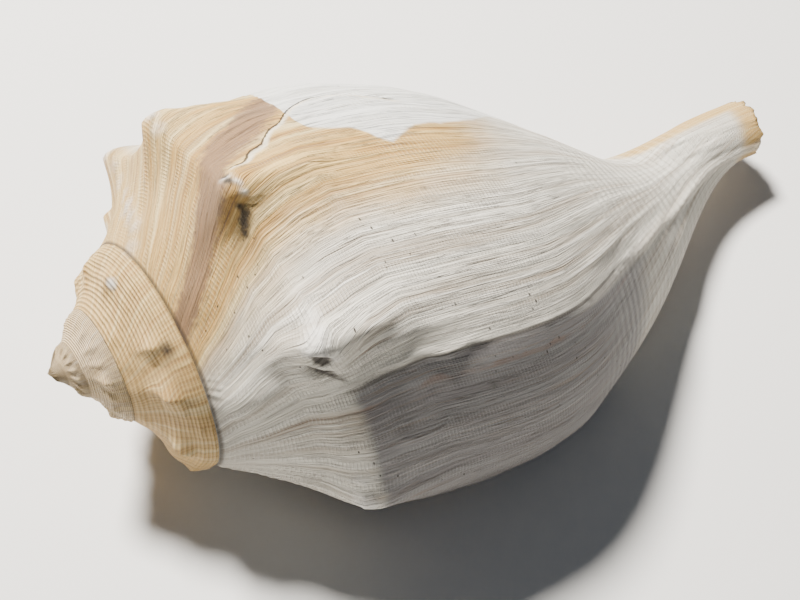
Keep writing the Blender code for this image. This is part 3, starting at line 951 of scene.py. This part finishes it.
class WHELK_OT_shell(bpy.types.Operator):
    """Build the fine surface of the shell in place of the plain solid"""

    bl_idname = "whelk.shell"
    bl_label = "Shell"

    def execute(self, context):
        settings = context.scene.whelk_relief
        surface = Surface()
        bm, home = surface.build(settings)
        bmesh.ops.recalc_face_normals(bm, faces=bm.faces[:])
        mesh = bpy.data.meshes.new("shell_surface")
        bm.to_mesh(mesh)
        bm.free()
        shell = bpy.data.objects.new("shell_surface", mesh)
        context.scene.collection.objects.link(shell)
        materials = (outer_material(context.scene.whelk_colour), inner_material(context.scene.whelk_colour))
        mesh.materials.append(materials[0])
        source = [vertex.co.copy() for vertex in mesh.vertices]
        cutters = make_cutters()
        for cutter in cutters:
            cutter.data.materials.append(materials[1])
            modifier = shell.modifiers.new(cutter.name, "BOOLEAN")
            modifier.operation = "DIFFERENCE"
            modifier.solver = "EXACT"
            modifier.material_mode = "TRANSFER"
            modifier.object = cutter
        graph = context.evaluated_depsgraph_get()
        cut = bpy.data.meshes.new_from_object(shell.evaluated_get(graph))
        shell.modifiers.clear()
        for cutter in cutters:
            bpy.data.objects.remove(cutter, do_unlink=True)
        if len(cut.polygons) < len(mesh.polygons) // 4:
            raise RuntimeError("the hollow wasn't cut")
        shell.data = cut
        self.mark(cut, source, home, surface)
        cut.transform(resting_place())
        for vertex in cut.vertices:
            vertex.co.z = max(vertex.co.z, 0.0)
        cut.shade_smooth()
        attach(shell, "root")
        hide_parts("shell")
        return {"FINISHED"}

    def mark(self, mesh, source, home, surface):
        """Keep the growth, the cords, the stains and the painted shade of the nearest point on the surface.
        """
        tree = KDTree(len(source))
        for index, point in enumerate(source):
            tree.insert(point, index)
        tree.balance()
        nearest = np.array([tree.find(vertex.co)[1] for vertex in mesh.vertices])
        column, row = home[nearest].T
        degrees, share = surface.degrees[column, row], surface.share[column, row]
        growth, cord = surface.growth[column, row], surface.cord[column, row]
        height = surface.height[column, row] / MM
        store(mesh, "growth", growth)
        store(mesh, "cord", cord)
        body = share > 1.0
        early = 0.9 - 0.30 * smooth_step(-690.0, -725.0, degrees)
        blend_in = smooth_step(-365.0, -330.0, degrees)
        ramp_tan = np.interp(
            growth, (-110.0, -104.0, -98.0, -88.0, -75.0, -60.0), (0.9, 0.75, 0.5, 0.32, 0.2, 0.1))
        ramp_tan = ramp_tan - 0.15 * smooth_step(-128.0, -150.0, growth)
        side_tan = np.interp(
            growth, (-112.0, -107.0, -98.0, -94.0, -80.0, -66.0), (0.95, 0.75, 0.5, 0.3, 0.2, 0.05))
        side_tan = side_tan * smooth_step(118.0, 62.0, height)
        side_tan = side_tan * (1.0 - 0.55 * smooth_step(-145.0, -190.0, growth))
        canal_tan = 0.8 * smooth_step(128.0, 146.0, height) * smooth_step(-118.0, -150.0, degrees)
        canal_tan = np.maximum(canal_tan, 0.75 * smooth_step(168.0, 176.0, height))
        side_tan = np.maximum(side_tan, canal_tan)
        last = ramp_tan + (side_tan - ramp_tan) * smooth_step(0.96, 1.16, share)
        store(mesh, "tan", early + (last - early) * blend_in)
        shares, centres = np.array(MAUVE_BAND).T
        mauve_centre = np.interp(share, shares, centres)
        mauve = smooth_step(10.5, 2.5, np.abs(growth - mauve_centre)) * smooth_step(58.0, 50.0, height)
        store(mesh, "mauve", mauve * (degrees > MARKS_FROM))
        heights, azimuths = np.array(BLEACHED_EDGE).T
        edge = np.interp(height, heights, azimuths)
        bleached = smooth_step(5.0, -5.0, degrees - edge) * body * smooth_step(*BLEACHED_FROM, height)
        bleached = bleached * (0.45 + 0.55 * smooth_step(-215.0, -160.0, degrees))
        bleached = bleached * smooth_step(128.0, 100.0, height)
        store(mesh, "bleached", bleached * (degrees > -300))
        # Mask of the grey near the lip: partly real colour, partly painted shade on the lower side. It fades
        # out towards the canal.
        grey_and_shade = smooth_step(-66.0, -62.5, growth) * smooth_step(0.95, 1.15, share) * (degrees > MARKS_FROM)
        grey_and_shade = grey_and_shade * smooth_step(140.0, 105.0, height)
        store(mesh, "grey_and_shade", grey_and_shade)
        store(mesh, "crack", surface.beside(CRACK)[column, row])
        store(mesh, "ridge", surface.beside(CANAL_RIDGE)[column, row])
        store(mesh, "ridged", smooth_step(88.0, 100.0, height) * (degrees > MARKS_FROM))
        neck = smooth_step(98.0, 116.0, height) * smooth_step(172.0, 150.0, height)
        store(mesh, "neck", neck * (degrees > MARKS_FROM))
        last = smooth_step(0.99, 1.06, share) * smooth_step(3.0, 2.5, share) * (degrees > MARKS_FROM)
        store(mesh, "last", last)
        store(mesh, "size", surface.size[column, row])
        store(mesh, "reach", np.clip(surface.radius[column, row] / SHOULDER_RADIUS, 0.05, 1.1))
        store(mesh, "old", smooth_step(-340.0, -372.0, degrees))
        cracked = smooth_step(CRACK_ENDS[0] - 0.5, CRACK_ENDS[0] + 0.5, height)
        cracked = cracked * smooth_step(CRACK_ENDS[1] + 1.0, CRACK_ENDS[1] - 2.0, height)
        store(mesh, "cracked", cracked * (degrees > MARKS_FROM))
        points = place(surface.radius, surface.height, surface.degrees)
        here = points[column, row]
        # Darkness around the pits: partly dark stains, partly painted shade in the hollows beside the knobs.
        stain_and_shade = np.zeros(len(here))
        for at, level, radius, _, darkness in PITS:
            away = np.linalg.norm(here - surface.point_at(points, at, level), axis=-1) / MM
            stain_and_shade = np.maximum(stain_and_shade, darkness * np.exp(-(away / radius) ** 2))
        store(mesh, "stain_and_shade", stain_and_shade)
        worn = np.zeros(len(here))
        for at, level, radius, strength in WORN:
            away = np.linalg.norm(here - surface.point_at(points, at, level), axis=-1) / MM
            worn = np.maximum(worn, strength * np.exp(-(away / radius) ** 2))
        for at, level in FOLD:
            away = np.linalg.norm(here - surface.point_at(points, at, level), axis=-1) / MM
            worn = np.maximum(worn, 0.45 * np.exp(-(away / 3.0) ** 2))
        store(mesh, "worn", worn)


class WHELK_OT_stage(bpy.types.Operator):
    """Build the floor, the lights and the camera"""

    bl_idname = "whelk.stage"
    bl_label = "Stage"

    def execute(self, context):
        settings = context.scene.whelk_stage
        bpy.ops.mesh.primitive_plane_add(size=FLOOR_SIZE, location=(0.0, 0.0, 0.0))
        floor = context.object
        floor.name = "floor"
        material, shader = new_material("floor")
        shader.inputs["Base Color"].default_value = solid(settings.floor)
        shader.inputs["Roughness"].default_value = FLOOR_ROUGHNESS
        floor.data.materials.append(material)
        world = bpy.data.worlds.new("studio")
        world.use_nodes = True
        back = world.node_tree.nodes["Background"]
        back.inputs["Color"].default_value = FILL_COLOUR
        back.inputs["Strength"].default_value = settings.fill
        context.scene.world = world
        direction = Vector(KEY_DIRECTION).normalized()
        bpy.ops.object.light_add(type="AREA", location=direction * KEY_DISTANCE)
        key = context.object
        key.data.shape = "DISK"
        key.data.size = KEY_SIZE
        key.data.energy = settings.key_power
        key.data.color = KEY_COLOUR
        key.rotation_euler = direction.to_track_quat("Z", "Y").to_euler()
        camera = bpy.data.objects.new("camera", bpy.data.cameras.new("camera"))
        context.scene.collection.objects.link(camera)
        camera.location = CAMERA_PLACE
        camera.rotation_euler = [math.radians(angle) for angle in CAMERA_ANGLES]
        camera.data.lens = settings.lens
        camera.data.sensor_width = SENSOR_WIDTH
        camera.data.clip_start = 0.01
        context.scene.camera = camera
        return {"FINISHED"}


class WHELK_PT_panel(bpy.types.Panel):
    """Whelk shell settings"""

    bl_label = "Whelk shell"
    bl_idname = "WHELK_PT_panel"
    bl_space_type = "VIEW_3D"
    bl_region_type = "UI"
    bl_category = "Whelk"

    def draw(self, context):
        for operator in OPERATORS:
            self.layout.operator(operator.bl_idname)
        for group in GROUPS:
            settings = getattr(context.scene, group)
            for name in settings.bl_rna.properties.keys():
                if name not in {"rna_type", "name"}:
                    self.layout.prop(settings, name)


GROUPS = {
    "whelk_relief": WhelkReliefSettings,
    "whelk_colour": WhelkColourSettings,
    "whelk_stage": WhelkStageSettings,
}
OPERATORS = (WHELK_OT_shell, WHELK_OT_stage)


def register():
    """Register the settings, the operators and the panel."""
    for group, kind in GROUPS.items():
        bpy.utils.register_class(kind)
        setattr(bpy.types.Scene, group, PointerProperty(type=kind))
    for kind in (*OPERATORS, WHELK_PT_panel):
        bpy.utils.register_class(kind)


def unregister():
    """Undo register."""
    for kind in (WHELK_PT_panel, *reversed(OPERATORS)):
        bpy.utils.unregister_class(kind)
    for group, kind in GROUPS.items():
        delattr(bpy.types.Scene, group)
        bpy.utils.unregister_class(kind)


def main():
    """Build the pieces and the stage."""
    register()
    bpy.ops.whelk.shell()
    bpy.ops.whelk.stage()


if __name__ == "__main__":
    main()
